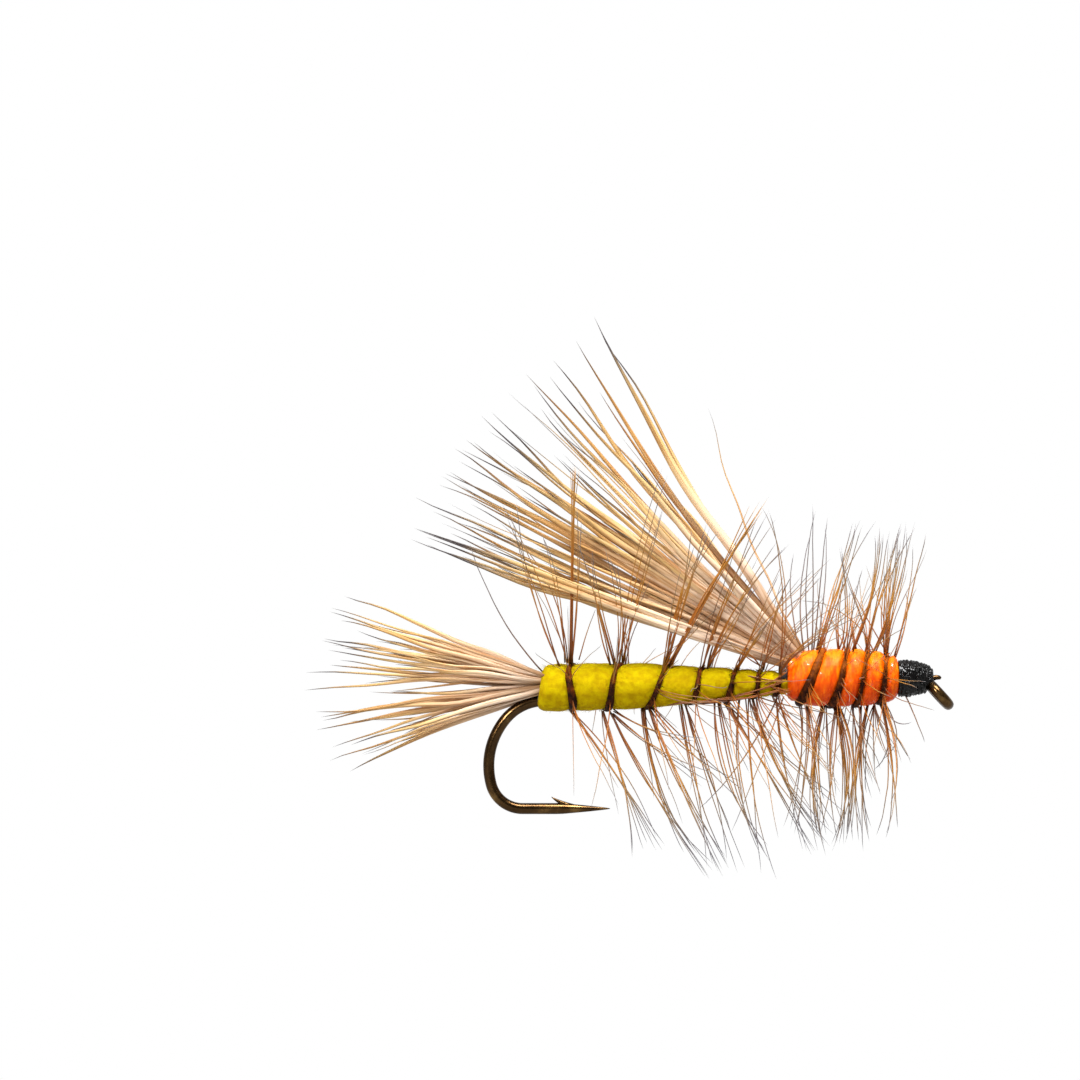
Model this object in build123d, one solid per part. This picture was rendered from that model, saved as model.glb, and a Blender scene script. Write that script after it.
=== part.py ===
from build123d import *

import math
import os
import random

# A hair-wing dry fly for trout: a long-shank hook dressed with a hair tail, a yarn
# abdomen and thorax, two wound hackles, a hair wing and a varnished thread head.
# Millimetres. +X runs along the shank to the eye, +Z is up, Y is across the fly.
# The origin is the wire centre of the level run below the bend, where a vise holds it.

os.makedirs("parts", exist_ok=True)

# ---------------------------------------------------------------- driving dimensions
WIRE_R = 0.31  # hook wire
POINT_X = 3.61  # tip of the point, ahead of the vise grip
TAPER_START_X = 1.00  # where the round wire starts to be ground to the point
BEND_START_X = -1.25  # end of the level run
BEND_ARCS = [(1.80, 75.0), (4.05, 55.0), (2.80, 42.6)]  # radius and turn, point to shank
SHANK_ARC = (150.0, 8.1)  # the long shank is very slightly curved
NECK_ARC = (0.80, 46.9)  # turns the wire down into the eye
NECK_RUN = 0.10
EYE_MAJOR_R = 0.73  # centre line of the ring
EYE_BORE_R = 0.48  # the polished land inside the ring
BARB_HEIGHT = 0.66

THREAD_R = 0.38  # outside of the thread wound on the bare shank
GAP = 0.02  # left between soft layers

ABDOMEN_AXIS = ((-0.30, 6.70), (12.95, 6.97))  # x, z of the two ends
ABDOMEN = [
    (0.00, 1.08),
    (0.35, 1.25),
    (1.20, 1.30),
    (5.90, 1.22),
    (8.20, 1.03),
    (10.60, 0.84),
    (12.20, 0.70),
    (13.25, 0.50),
]  # distance along the axis, radius
THORAX_Z = 7.27
THORAX = [
    (13.50, 1.12),
    (14.20, 1.42),
    (15.40, 1.56),
    (17.40, 1.57),
    (18.70, 1.40),
    (19.55, 1.10),
]  # x, radius
HEAD_Z = 7.24
HEAD = [(19.60, 0.93), (20.10, 0.96), (20.60, 0.90), (21.10, 0.72), (21.50, 0.50)]
VARNISH = 0.04  # thickness of the clear coat on the head

QUILL_R = 0.20  # feather stem wound over the yarn
ABDOMEN_TURNS = (1.30, 2.75, 0.14)  # first turn, pitch, and how fast the pitch closes up
ABDOMEN_TURN_SPAN = (-0.25, 6.05)
THORAX_TURNS = (14.95, 1.30, 0.0)
THORAX_TURN_SPAN = (-0.20, 3.30)
BARB_ROOT_R, BARB_TIP_R = 0.052, 0.022

TAIL_ROOT = Vector(0.10, 0, 7.00)
TAIL_BUNDLE_R = 0.47
TAIL_HAIR = [(0.00, 0.070), (0.20, 0.125), (0.65, 0.110), (1.00, 0.020)]  # share, radius
WING_ROOT = Vector(13.80, 0, 8.40)
WING_RISE = 33.0  # degrees above straight back
WING_BUNDLE_R = 0.62
WING_HAIR = [(0.00, 0.055), (0.12, 0.120), (0.65, 0.125), (0.88, 0.085), (1.00, 0.018)]


# ---------------------------------------------------------------- helpers
def along(radius, heading, turn):
    """Steps of a clockwise arc in the XZ plane: (middle offset, end offset, end heading)."""

    def offset(angle):
        h0, h1 = math.radians(heading), math.radians(heading - angle)
        return Vector(
            radius * (math.sin(h0) - math.sin(h1)),
            0,
            radius * (math.cos(h1) - math.cos(h0)),
        )

    return offset(turn / 2), offset(turn), heading - turn


def unit(heading):
    return Vector(math.cos(math.radians(heading)), 0, math.sin(math.radians(heading)))


def turned(profile, centre_z, pitch=0.0):
    """A body turned about a line along X at the given height; profile is x and radius."""
    with BuildPart() as body:
        with BuildSketch(Plane.XZ):
            with BuildLine():
                first, last = profile[0][0], profile[-1][0]
                Polyline((first, 0), *profile, (last, 0), close=True)
            make_face()
        revolve(axis=Axis.X)
    return Pos(0, 0, centre_z) * Rot(0, pitch, 0) * body.part


def radius_at(profile, x):
    for (x0, r0), (x1, r1) in zip(profile, profile[1:]):
        if x <= x1:
            return r0 + (r1 - r0) * max(0.0, (x - x0)) / (x1 - x0)
    return profile[-1][1]


def strand(start, end, profile):
    """One straight fibre from start to end; profile is share of length and radius."""
    length = (end - start).length
    with BuildPart() as fibre:
        with BuildSketch(Plane.XZ):
            with BuildLine():
                points = [(r, u * length) for u, r in profile]
                Polyline((0, 0), *points, (0, length), close=True)
            make_face()
        revolve(axis=Axis.Z)
    return Plane(origin=start, z_dir=(end - start).normalized()).location * fibre.part


def bar(start, end, radius_start, radius_end=None):
    return strand(start, end, [(0, radius_start), (1, radius_end or radius_start)])


def gap_between(a0, a1, b0, b1):
    """Shortest distance between two straight segments."""
    u, v, w = a1 - a0, b1 - b0, a0 - b0
    a, b, c, d, e = u.dot(u), u.dot(v), v.dot(v), u.dot(w), v.dot(w)
    denominator = a * c - b * b
    s = 0.0 if denominator < 1e-9 else min(1.0, max(0.0, (b * e - c * d) / denominator))
    t = min(1.0, max(0.0, (b * s + e) / c))
    s = min(1.0, max(0.0, (b * t - d) / a))
    return (w + u * s - v * t).length


placed = []  # every straight fibre and stretch of wire so far: start, end, radius


def is_clear(start, end, radius, room=GAP):
    return all(
        gap_between(start, end, s, e) > radius + r + room for s, e, r in placed
    )


def packed(radius, spacing, skew):
    """Centres of round things packed in a circle; skew turns the rows off the upright."""
    rows = int(radius / (spacing * 0.866)) + 1
    c, s = math.cos(math.radians(skew)), math.sin(math.radians(skew))
    found = []
    for row in range(-rows, rows + 1):
        for col in range(-rows - 1, rows + 2):
            u, v = (col + 0.5 * (row % 2)) * spacing, row * spacing * 0.866
            if math.hypot(u, v) <= radius:
                found.append((u * c - v * s, u * s + v * c))
    return found


def save(name, *solids):
    shape = solids[0] if len(solids) == 1 else Compound(children=list(solids))
    export_step(shape, "parts/" + name + ".step")


# ---------------------------------------------------------------- hook
# One piece of wire: point, barb, bend, shank, neck and a ring eye turned down.
path = []
here, heading = Vector(TAPER_START_X, 0, 0), 180.0
step = Vector(BEND_START_X, 0, 0)
path.append(Line(here, step))
here = step
for radius, turn in BEND_ARCS:
    middle, end, after = along(radius, heading, turn)
    path.append(ThreePointArc(here, here + middle, here + end))
    here, heading = here + end, after
shank_start, shank_heading = here, heading
middle, end, heading = along(SHANK_ARC[0], heading, SHANK_ARC[1])
shank = ThreePointArc(here, here + middle, here + end)
path.append(shank)
here = here + end
middle, end, heading = along(NECK_ARC[0], heading, NECK_ARC[1])
path.append(ThreePointArc(here, here + middle, here + end))
here = here + end
path.append(Line(here, here + unit(heading) * NECK_RUN))
here = here + unit(heading) * NECK_RUN
eye_centre = here + unit(heading) * EYE_MAJOR_R
eye_axis = unit(heading + 90)

wire = Wire(path)
hook = sweep(Plane(origin=wire @ 0, z_dir=wire % 0) * Circle(WIRE_R), path=wire)
point = strand(
    Vector(TAPER_START_X, 0, 0),
    Vector(POINT_X, 0, 0),
    [(0.0, WIRE_R), (0.35, 0.26), (0.75, 0.13), (1.0, 0.015)],
)
with BuildPart() as barb:
    with BuildSketch(Plane.XZ):
        with BuildLine():
            Polyline((1.45, 0.18), (0.33, BARB_HEIGHT), (0.72, 0.18), close=True)
        make_face()
    extrude(amount=0.10, both=True)
ring = Plane(origin=eye_centre, z_dir=eye_axis) * Torus(EYE_MAJOR_R, WIRE_R)
wire_end = bar(here - Vector(0.25, 0, 0), Vector(21.95, 0, 7.30), 0.16, 0.09)
hook = hook + point + barb.part + ring + wire_end
hook -= Plane(origin=eye_centre, z_dir=eye_axis) * Cylinder(EYE_BORE_R, 2.0)
save("hook", hook)

for edge in path:
    count = max(1, int(edge.length / 0.8))
    for i in range(count):
        placed.append((edge @ (i / count), edge @ ((i + 1) / count), WIRE_R))
placed.append((Vector(TAPER_START_X, 0, 0), Vector(POINT_X, 0, 0), WIRE_R))
placed.append((Vector(0.9, 0, 0.2), Vector(0.35, 0, 0.6), 0.12))

# ---------------------------------------------------------------- thread on the shank
tube = sweep(Plane(origin=shank @ 0, z_dir=shank % 0) * Circle(THREAD_R), path=shank)
section = Plane(origin=shank @ 0, z_dir=shank % 0) * (Circle(THREAD_R) - Circle(WIRE_R))
thread_base = sweep(section, path=shank)
save("thread_base", thread_base)

# ---------------------------------------------------------------- tail
# Root ends sit in a flared socket in the rear of the abdomen; the butts run on inside it.
tail_butts = bar(TAIL_ROOT + Vector(GAP, 0, 0), Vector(3.60, 0, 7.25), TAIL_BUNDLE_R, 0.18)
tail_butts -= tube
save("tail_butts", tail_butts)
collar_at = Vector(0.45, 0, 6.62)
tail_lashing = bar(collar_at, collar_at + Vector(0.45, 0, 0.01), 0.98) - tube - tail_butts
save("tail_lashing", tail_lashing)
tail_socket = bar(TAIL_ROOT, Vector(-0.45, 0, 7.00), TAIL_BUNDLE_R + 0.10, 0.88)

rng = random.Random(7)
tail_hairs = []
for across, up in packed(TAIL_BUNDLE_R - 0.07, 0.155, 19):
    reach = rng.uniform(11.6, 14.0)
    spread = Vector(-1, across * 0.95, up * 1.12 - 0.02).normalized()
    root = TAIL_ROOT + Vector(0, across, up)
    tip = root + spread * reach
    if is_clear(root, tip, 0.125):
        tail_hairs.append((root, tip))
placed += [(root, tip, 0.09) for root, tip in tail_hairs]
save("tail_hair", *[strand(root, tip, TAIL_HAIR) for root, tip in tail_hairs])

# ---------------------------------------------------------------- wing
back = unit(180 - WING_RISE)
square = unit(90 - WING_RISE)  # across the bundle, in the upright plane
butt_bend = WING_ROOT - back * 0.75
wing_butts = bar(WING_ROOT - back * GAP, butt_bend, WING_BUNDLE_R, 0.42)
wing_butts += bar(butt_bend - Vector(0.25, 0, 0), Vector(17.20, 0, 7.80), 0.42, 0.20)
wing_butts -= tube
save("wing_butts", wing_butts)
wing_lashing = bar(Vector(13.00, 0, 7.17), Vector(13.42, 0, 7.17), 0.60) - tube
save("wing_lashing", wing_lashing)
wing_socket = bar(WING_ROOT, WING_ROOT + back * 1.6, WING_BUNDLE_R + 0.08, 1.55)

rng = random.Random(11)
wing_hairs = []
for across, up in packed(WING_BUNDLE_R - 0.055, 0.130, 10.9):
    share = up / WING_BUNDLE_R
    lift = math.tan(math.radians(15 * share if share < 0 else 14 * share + 14 * share**3))
    side = math.tan(math.radians(15)) * across / WING_BUNDLE_R
    aim = (back + square * lift + Vector(0, side, 0)).normalized()
    reach = rng.uniform(19.5, 23.5)
    root = WING_ROOT + square * up + Vector(0, across, 0)
    wing_hairs.append(strand(root, root + aim * reach, WING_HAIR))
    placed.append((root, root + aim * reach, 0.10))
save("wing_hair", *wing_hairs)

# ---------------------------------------------------------------- yarn abdomen and thorax
(x0, z0), (x1, z1) = ABDOMEN_AXIS
abdomen_pitch = math.degrees(math.atan2(z1 - z0, x1 - x0))
abdomen = Pos(x0, 0, 0) * turned(ABDOMEN, 0.0)
abdomen = Pos(x0, 0, z0) * Rot(0, -abdomen_pitch, 0) * Pos(-x0, 0, 0) * abdomen
abdomen = abdomen - tube - tail_socket - tail_butts - tail_lashing
save("abdomen_yarn", abdomen)
thorax = turned(THORAX, THORAX_Z) - tube - wing_socket - wing_butts
save("thorax_yarn", thorax)


# ---------------------------------------------------------------- hackles
# A stem wound in open turns over the yarn, barbs standing out from it all round.
def on_stem(turns, law, surface, extra):
    """Point on the stem after so many turns, and the outward direction there.

    Turn 0 is the near side (-Y); a quarter turn on is the top.
    """
    x = law[0] + law[1] * turns - law[2] * turns * turns
    centre, radius = surface(x)
    angle = 2 * math.pi * turns
    out = Vector(0, -math.cos(angle), math.sin(angle))
    return Vector(x, 0, centre) + out * (radius + extra), out


def abdomen_surface(x):
    return z0 + (z1 - z0) * (x - x0) / (x1 - x0), radius_at(ABDOMEN, x - x0)


def thorax_surface(x):
    return THORAX_Z, radius_at(THORAX, x)


def quill(law, span, surface):
    count = int((span[1] - span[0]) * 12)
    turns = [span[0] + (span[1] - span[0]) * i / count for i in range(count + 1)]
    spine = Spline(*[on_stem(t, law, surface, QUILL_R + 0.05)[0] for t in turns])
    return sweep(Plane(origin=spine @ 0, z_dir=spine % 0) * Circle(QUILL_R), path=spine)


def barbs(law, span, surface, per_turn, reach, lean_up, lean_down, seed):
    """Straight barbs round the stem; each is turned a little until it clears the rest."""
    rng = random.Random(seed)
    made = []
    total = int((span[1] - span[0]) * per_turn)
    for i in range(total):
        turns = span[0] + (span[1] - span[0]) * (i + 0.5) / total
        for attempt in range(14):
            t = turns + rng.uniform(-0.3, 0.3) / per_turn
            root, out = on_stem(t, law, surface, 2 * QUILL_R + 0.07)
            low, high = lean_up if out.Z > -0.15 else lean_down
            aim = out + Vector(rng.uniform(low, high), 0, 0)
            aim += Vector(0, rng.uniform(-0.14, 0.14), rng.uniform(-0.08, 0.08))
            tip = root + aim.normalized() * rng.uniform(*reach)
            if is_clear(root, tip, BARB_ROOT_R, 0.005):
                made.append(bar(root, tip, BARB_ROOT_R, BARB_TIP_R))
                placed.append((root, tip, BARB_ROOT_R * 0.8))
                break
    return made


save("abdomen_quill", quill(ABDOMEN_TURNS, ABDOMEN_TURN_SPAN, abdomen_surface))
save("thorax_quill", quill(THORAX_TURNS, THORAX_TURN_SPAN, thorax_surface))
abdomen_barbs = barbs(
    ABDOMEN_TURNS, (0.0, 5.95), abdomen_surface, 20, (8.0, 10.6), (-0.05, 0.35), (0.30, 0.60), 3
)
save("abdomen_barbs", *abdomen_barbs)
thorax_barbs = barbs(
    THORAX_TURNS, (-0.1, 3.25), thorax_surface, 32, (6.8, 8.6), (-0.16, 0.14), (-0.22, 0.10), 5
)
save("thorax_barbs", *thorax_barbs)

# ---------------------------------------------------------------- head
head_core = turned(HEAD, HEAD_Z)
head_thread = head_core - tube - hook
save("head_thread", head_thread)
coat_profile = [(x, r + VARNISH) for x, r in HEAD[:-1]]
coat_profile.append((HEAD[-1][0] + VARNISH, HEAD[-1][1] + VARNISH / 2))
head_varnish = turned(coat_profile, HEAD_Z) - head_core - tube - hook
save("head_varnish", head_varnish)

print(
    "hairs", len(tail_hairs), len(wing_hairs), "barbs", len(abdomen_barbs), len(thorax_barbs)
)
print("eye centre", eye_centre, "axis", eye_axis, "shank start", shank_start, shank_heading)
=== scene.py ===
import math
import random

import bmesh
import bpy
import numpy as np
from mathutils import Matrix, Vector, noise


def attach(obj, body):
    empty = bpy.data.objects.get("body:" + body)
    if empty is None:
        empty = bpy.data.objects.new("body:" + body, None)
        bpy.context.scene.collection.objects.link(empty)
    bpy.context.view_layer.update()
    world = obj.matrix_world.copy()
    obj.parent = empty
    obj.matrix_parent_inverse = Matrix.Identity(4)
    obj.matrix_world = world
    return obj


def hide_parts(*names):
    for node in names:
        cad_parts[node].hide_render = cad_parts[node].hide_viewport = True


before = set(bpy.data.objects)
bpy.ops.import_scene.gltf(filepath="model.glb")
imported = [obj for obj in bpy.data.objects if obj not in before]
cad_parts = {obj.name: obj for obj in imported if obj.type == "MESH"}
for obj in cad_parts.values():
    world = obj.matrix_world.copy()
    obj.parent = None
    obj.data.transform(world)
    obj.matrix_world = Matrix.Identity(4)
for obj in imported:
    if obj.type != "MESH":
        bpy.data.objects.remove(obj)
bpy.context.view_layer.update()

# ------------------------------------------------------------------ hook
# Bronzed carbon-steel wire, 0.62 mm thick, bent to a long slightly curved shank, ground to a
# needle point with one cut-up barb, and closed into a ring eye turned down. All else is tied to it.
MM = 0.001
WIRE = 0.31


def next_ring(bm, edges):
    """Extrudes a loop of edges once: the new points, and the new loop."""
    grown = bmesh.ops.extrude_edge_only(bm, edges=edges)["geom"]
    ring = [g for g in grown if isinstance(g, bmesh.types.BMVert)]
    held = set(ring)
    loop = [g for g in grown if isinstance(g, bmesh.types.BMEdge) and held.issuperset(g.verts)]
    return ring, loop


def drawn_tube(spine, girth, sides):
    """A closed tube: one ring is extruded from point to point of the spine, then capped."""
    bm = bmesh.new()
    bmesh.ops.create_circle(bm, cap_ends=True, segments=sides, radius=1.0)
    edges = list(bm.edges)
    ring = list(bm.verts)
    points = [Vector(p) * MM for p in spine]
    across = None
    last = Matrix.Identity(4)
    for i, point in enumerate(points):
        ahead = points[min(i + 1, len(points) - 1)] - points[max(i - 1, 0)]
        ahead.normalize()
        if across is None:
            across = ahead.orthogonal() if abs(ahead.y) > 0.9 else Vector((0, 1, 0))
        across = (across - ahead * across.dot(ahead)).normalized()
        up = ahead.cross(across)
        r = girth[i] * MM
        place = Matrix(
            [
                [across.x * r, up.x * r, ahead.x * MM, point.x],
                [across.y * r, up.y * r, ahead.y * MM, point.y],
                [across.z * r, up.z * r, ahead.z * MM, point.z],
                [0, 0, 0, 1],
            ]
        )
        if i:
            ring, edges = next_ring(bm, edges)
        bmesh.ops.transform(bm, matrix=place @ last.inverted(), verts=ring)
        last = place
    bmesh.ops.contextual_create(bm, geom=edges)
    bmesh.ops.recalc_face_normals(bm, faces=bm.faces[:])
    return bm


def finished(name, shapes, body="root"):
    """One object, at the origin, from one or more bmesh shapes."""
    whole = bmesh.new()
    for shape in shapes:
        part = bpy.data.meshes.new(name)
        shape.to_mesh(part)
        shape.free()
        whole.from_mesh(part)
        bpy.data.meshes.remove(part)
    mesh = bpy.data.meshes.new(name)
    whole.to_mesh(mesh)
    whole.free()
    mesh.polygons.foreach_set("use_smooth", [True] * len(mesh.polygons))
    piece = bpy.data.objects.new(name, mesh)
    bpy.context.scene.collection.objects.link(piece)
    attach(piece, body)
    return piece


def arc_steps(start, heading, radius, turn, count):
    """Points of a clockwise arc in the upright plane, and the heading it leaves."""
    points = []
    for i in range(1, count + 1):
        a, b = math.radians(heading), math.radians(heading - turn * i / count)
        dx, dz = math.sin(a) - math.sin(b), math.cos(b) - math.cos(a)
        points.append((start[0] + radius * dx, 0.0, start[2] + radius * dz))
    return points, heading - turn


wire_line = [(3.61 - 0.12 * i, 0.0, 0.0) for i in range(22)]
wire_line += [(0.97 - 0.37 * i, 0.0, 0.0) for i in range(7)]
heading = 180.0
for radius, turn, count in (
    (1.80, 75.0, 22),
    (4.05, 55.0, 18),
    (2.80, 42.6, 16),
    (150.0, 8.1, 30),
    (0.80, 46.9, 12),
):
    steps, heading = arc_steps(wire_line[-1], heading, radius, turn, count)
    wire_line += steps
eye_along = Vector((math.cos(math.radians(heading)), 0, math.sin(math.radians(heading))))
wire_line.append(tuple(Vector(wire_line[-1]) + eye_along * 0.10))
wire_girth = [
    min(WIRE, WIRE * (0.05 + 0.95 * ((3.61 - p[0]) / 2.75) ** 0.80)) if i < 26 else WIRE
    for i, p in enumerate(wire_line)
]
wire_shape = drawn_tube(wire_line, wire_girth, 28)

# the ring of the eye, spun round its own axis
EYE_RING = 0.73
eye_at = Vector(wire_line[-1]) + eye_along * EYE_RING
eye_axis = Vector((-eye_along.z, 0, eye_along.x))
ring_shape = bmesh.new()
bmesh.ops.create_circle(ring_shape, segments=24, radius=WIRE * MM)
bmesh.ops.rotate(
    ring_shape, verts=ring_shape.verts, matrix=Matrix.Rotation(math.pi / 2, 3, "X")
)
bmesh.ops.translate(ring_shape, verts=ring_shape.verts, vec=(EYE_RING * MM, 0, 0))
bmesh.ops.spin(
    ring_shape,
    geom=ring_shape.verts[:] + ring_shape.edges[:],
    cent=(0, 0, 0),
    axis=(0, 0, 1),
    angle=2 * math.pi,
    steps=56,
    use_merge=True,
)
bmesh.ops.remove_doubles(ring_shape, verts=ring_shape.verts[:], dist=1e-7)
tilt = eye_axis.to_track_quat("Z", "Y").to_matrix().to_4x4()
bmesh.ops.transform(
    ring_shape, matrix=Matrix.Translation(eye_at * MM) @ tilt, verts=ring_shape.verts
)
bmesh.ops.recalc_face_normals(ring_shape, faces=ring_shape.faces[:])

# the drawn-down end of the ring's wire, and the barb raised from the point
stub_line = [
    (21.05, 0.04, 7.02),
    (21.30, 0.04, 7.13),
    (21.52, 0.04, 7.24),
    (21.74, 0.03, 7.29),
    (21.90, 0.02, 7.28),
    (22.00, 0.02, 7.24),
]
stub_shape = drawn_tube(stub_line, [0.19, 0.18, 0.16, 0.14, 0.12, 0.07], 14)
barb_line = [
    (1.55, 0, 0.10),
    (1.20, 0, 0.21),
    (0.90, 0, 0.33),
    (0.66, 0, 0.45),
    (0.48, 0, 0.56),
    (0.35, 0, 0.65),
]
barb_shape = drawn_tube(barb_line, [0.16, 0.14, 0.12, 0.085, 0.05, 0.012], 12)
hook = finished("hook_wire", [wire_shape, ring_shape, stub_shape, barb_shape])
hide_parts("hook")


def new_material(name, base, roughness, metallic=0.0):
    """A material with its shader and nothing wired in yet: (material, nodes, links, shader)."""
    material = bpy.data.materials.new(name)
    material.use_nodes = True
    nodes, links = material.node_tree.nodes, material.node_tree.links
    shader = nodes["Principled BSDF"]
    shader.inputs["Base Color"].default_value = (*base, 1.0)
    shader.inputs["Roughness"].default_value = roughness
    shader.inputs["Metallic"].default_value = metallic
    return material, nodes, links, shader


def grain_group():
    """Uneven tone and fine relief, shared by every finish but the barbs': scale in cycles per metre."""
    group = bpy.data.node_groups.new("uneven_tone", "ShaderNodeTree")
    face = group.interface
    for label, value in (("Scale", 2000.0), ("Detail", 4.0), ("Stretch", 1.0)):
        face.new_socket(label, in_out="INPUT", socket_type="NodeSocketFloat").default_value = value
    face.new_socket("Vector", in_out="INPUT", socket_type="NodeSocketVector")
    face.new_socket("Tone", in_out="OUTPUT", socket_type="NodeSocketFloat")
    nodes, links = group.nodes, group.links
    entry, leave = nodes.new("NodeGroupInput"), nodes.new("NodeGroupOutput")
    pull = nodes.new("ShaderNodeVectorMath")
    pull.operation = "MULTIPLY"
    join = nodes.new("ShaderNodeCombineXYZ")
    join.inputs[1].default_value = join.inputs[2].default_value = 1.0
    links.new(entry.outputs["Stretch"], join.inputs[0])
    links.new(entry.outputs["Vector"], pull.inputs[0])
    links.new(join.outputs[0], pull.inputs[1])
    cloud = nodes.new("ShaderNodeTexNoise")
    links.new(pull.outputs[0], cloud.inputs["Vector"])
    links.new(entry.outputs["Scale"], cloud.inputs["Scale"])
    links.new(entry.outputs["Detail"], cloud.inputs["Detail"])
    cloud.inputs["Roughness"].default_value = 0.6
    links.new(cloud.outputs["Fac"], leave.inputs["Tone"])
    return group


uneven_tone = grain_group()


def toned(nodes, links, scale, detail=4.0, stretch=1.0, source=None):
    """A node of the shared group on the piece's own coordinates, or on another source."""
    tone = nodes.new("ShaderNodeGroup")
    tone.node_tree = uneven_tone
    tone.inputs["Scale"].default_value = scale
    tone.inputs["Detail"].default_value = detail
    tone.inputs["Stretch"].default_value = stretch
    if source is None:
        source = nodes.new("ShaderNodeTexCoord").outputs["Object"]
    links.new(source, tone.inputs["Vector"])
    return tone.outputs["Tone"]


def ramped(nodes, links, source, stops):
    """A colour ramp fed from source; stops are position and colour."""
    ramp = nodes.new("ShaderNodeValToRGB")
    links.new(source, ramp.inputs["Fac"])
    elements = ramp.color_ramp.elements
    while len(elements) > 1:
        elements.remove(elements[-1])
    elements[0].position, elements[0].color = stops[0][0], (*stops[0][1], 1.0)
    for position, colour in stops[1:]:
        elements.new(position).color = (*colour, 1.0)
    return ramp.outputs["Color"]


def ranged(nodes, links, source, low, high, least=0.0, most=1.0):
    """The source, carried from low and high to least and most."""
    level = nodes.new("ShaderNodeMapRange")
    level.inputs["From Min"].default_value = low
    level.inputs["From Max"].default_value = high
    level.inputs["To Min"].default_value = least
    level.inputs["To Max"].default_value = most
    links.new(source, level.inputs["Value"])
    return level.outputs["Result"]


def multiplied(nodes, links, first, second, factor):
    """The first colour darkened by the second, by the share in factor."""
    mix = nodes.new("ShaderNodeMix")
    mix.data_type = "RGBA"
    mix.blend_type = "MULTIPLY"
    mix.inputs["Factor"].default_value = factor
    links.new(first, mix.inputs[6])
    links.new(second, mix.inputs[7])
    return mix.outputs[2]


def bumped(nodes, links, shader, source, strength, depth):
    """Relief from the source, its depth in mm."""
    bump = nodes.new("ShaderNodeBump")
    bump.inputs["Strength"].default_value = strength
    bump.inputs["Distance"].default_value = depth * MM
    links.new(source, bump.inputs["Height"])
    links.new(bump.outputs["Normal"], shader.inputs["Normal"])


bronze, nodes, links, shader = new_material("bronzed_wire", (0.10, 0.055, 0.025), 0.30, 1.0)
tone = toned(nodes, links, 900, 6.0)
links.new(
    ramped(
        nodes,
        links,
        tone,
        [(0.30, (0.032, 0.017, 0.007)), (0.55, (0.075, 0.040, 0.014)), (0.78, (0.24, 0.14, 0.045))],
    ),
    shader.inputs["Base Color"],
)
fine = toned(nodes, links, 9000, 3.0, 0.15)
links.new(
    ramped(nodes, links, fine, [(0.3, (0.16,) * 3), (0.7, (0.32,) * 3)]),
    shader.inputs["Roughness"],
)
bumped(nodes, links, shader, fine, 0.25, 0.01)
shader.inputs["Coat Weight"].default_value = 0.05
shader.inputs["Coat Roughness"].default_value = 0.08
hook.data.materials.append(bronze)

# ------------------------------------------------------------------ thread on the shank
# Waxed black tying thread, wound touching along the shank and in collars over the hair ends.
# It is buried under the yarn and shows only at the wing root and the head.
thread, nodes, links, shader = new_material("black_thread", (0.012, 0.011, 0.011), 0.42)
tone = toned(nodes, links, 9000, 2.0, 5.0)
links.new(
    ramped(nodes, links, tone, [(0.35, (0.006, 0.006, 0.007)), (0.7, (0.030, 0.027, 0.025))]),
    shader.inputs["Base Color"],
)
bumped(nodes, links, shader, tone, 0.6, 0.03)
shader.inputs["Sheen Weight"].default_value = 0.2
for name in ("thread_base", "tail_lashing"):
    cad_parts[name].data.materials.clear()
    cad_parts[name].data.materials.append(thread)

# ------------------------------------------------------------------ tail
# A pinch of deer body hair: brown at the root, partly its own colour and partly painted shade, pale
# along the shaft, golden near the dark tip.
# The butts are bound along the shank, and the tips flare a little past the bend.
hair_rng = np.random.default_rng(41)


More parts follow.
